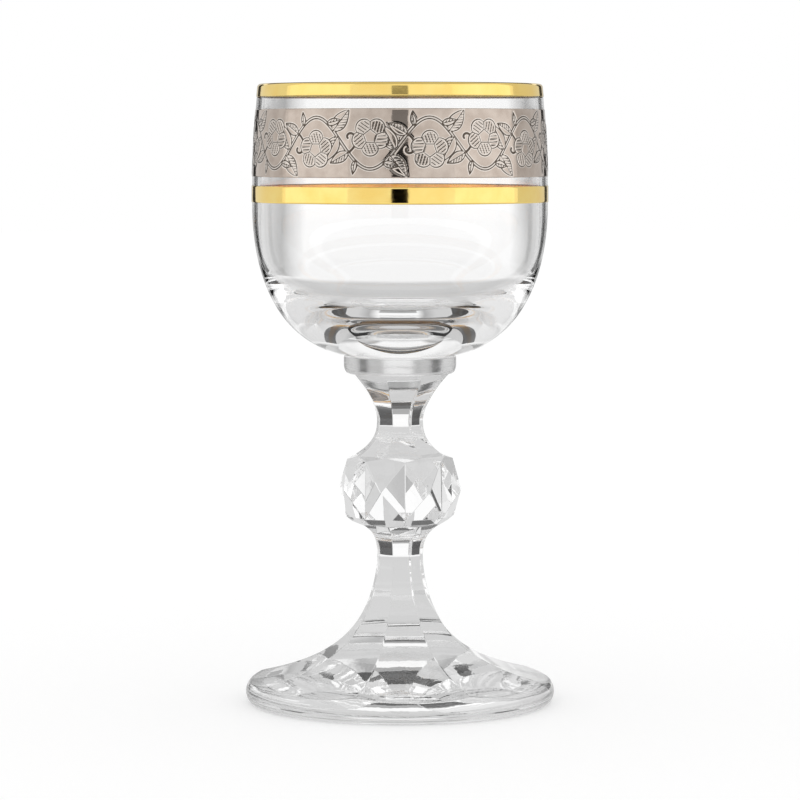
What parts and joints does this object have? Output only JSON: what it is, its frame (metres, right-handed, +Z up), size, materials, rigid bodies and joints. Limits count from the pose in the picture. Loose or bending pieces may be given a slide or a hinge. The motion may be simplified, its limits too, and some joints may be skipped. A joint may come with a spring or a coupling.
{
  "type": "cordial glass",
  "caption": "Small stemmed cordial glass: rounded bowl with gilded lip, gold band and platinum floral frieze, panelled stem, diamond-point knop and flared foot.",
  "frame": {"origin": "centre of the flat ring that the foot stands on", "axes": "+Z up the stem and bowl; one flat panel of the stem faces -Y"},
  "size_m": [0.0526, 0.0526, 0.105],
  "materials": {
    "crystal": "clear, fire-polished",
    "gold": "bright fired gold",
    "platinum": "bright fired platinum over raised floral relief"
  },
  "bodies": {
    "root": {"foot": "crystal", "lower_stem": "crystal", "knop": "crystal", "upper_stem": "crystal", "stem_button": "crystal", "bowl": "crystal", "gold_band": "gold", "platinum_frieze": "platinum", "rim_gilding": "gold"}
  },
  "joints": []
}
